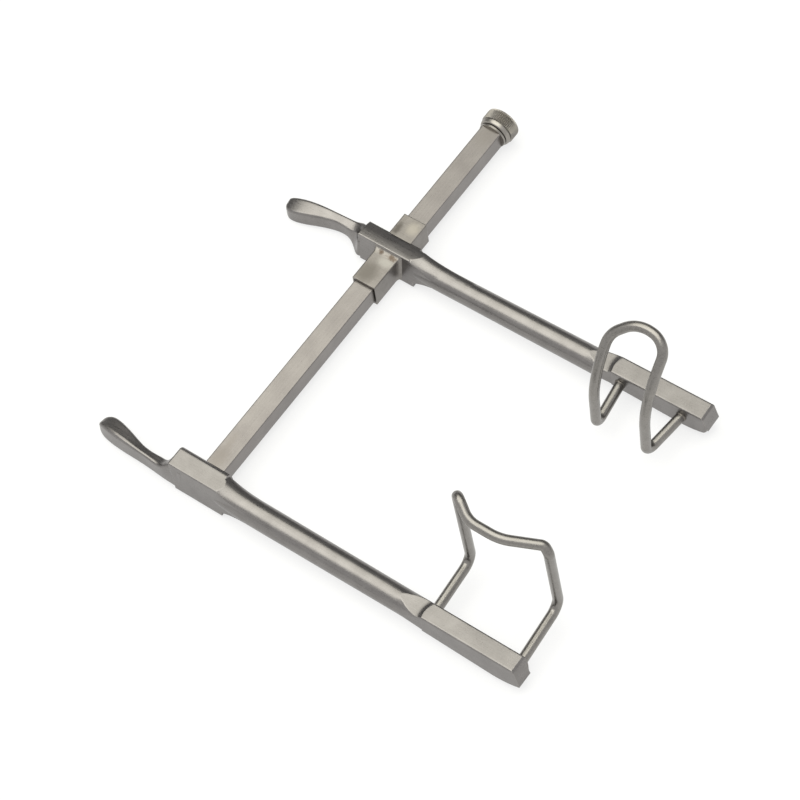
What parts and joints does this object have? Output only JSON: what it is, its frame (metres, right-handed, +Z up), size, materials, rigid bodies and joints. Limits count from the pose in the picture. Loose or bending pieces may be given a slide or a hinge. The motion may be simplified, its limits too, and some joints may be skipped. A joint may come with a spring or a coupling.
{
  "type": "self retaining retractor",
  "caption": "Self retaining retractor: a square rail with a fixed arm and a sliding arm, each with a handle and a bent wire blade, and a knurled end screw.",
  "frame": {"origin": "on the flat foot face of the fixed arm's boss, under the point where the fixed arm's axis crosses the rail's axis", "axes": "+X along the rail from the fixed arm to the knurled end screw, +Y to the handles (the pads and blades are at -Y), +Z up the way the blades stand"},
  "size_m": [0.2082, 0.2041, 0.0665],
  "materials": {
    "rail_steel": "satin, drawn along the bar",
    "arm_steel": "satin, belt ground faces and polished round shaft",
    "sleeve_steel": "satin with heat tint beside the braze",
    "wire_steel": "polished drawn wire",
    "screw_steel": "straight knurled, satin",
    "washer_steel": "plain turned"
  },
  "bodies": {
    "frame": {"rail": "rail_steel", "fixed_arm": "arm_steel", "wide_blade": "wire_steel"},
    "slider": {"sliding_arm": "arm_steel", "slider_sleeve": "sleeve_steel", "arch_blade": "wire_steel"},
    "washer": {"end_washer": "washer_steel"},
    "screw": {"end_screw": "screw_steel"}
  },
  "joints": [
    {"name": "arm_slide", "type": "slide", "parent": "frame", "child": "slider", "axis": [1, 0, 0], "range_m": [-0.079, 0.0531]},
    {"name": "screw_out", "type": "slide", "parent": "frame", "child": "washer", "axis": [1, 0, 0], "range_m": [0, 0.009]},
    {"name": "screw_turn", "type": "hinge", "parent": "washer", "child": "screw", "pos_m": [0.195, 0, 0.0075], "axis": [1, 0, 0], "range_deg": [0, 4050]}
  ],
  "couplings": [
    {"joint": "screw_out", "follows": "screw_turn", "m_per_rad": 0.00012732}
  ]
}
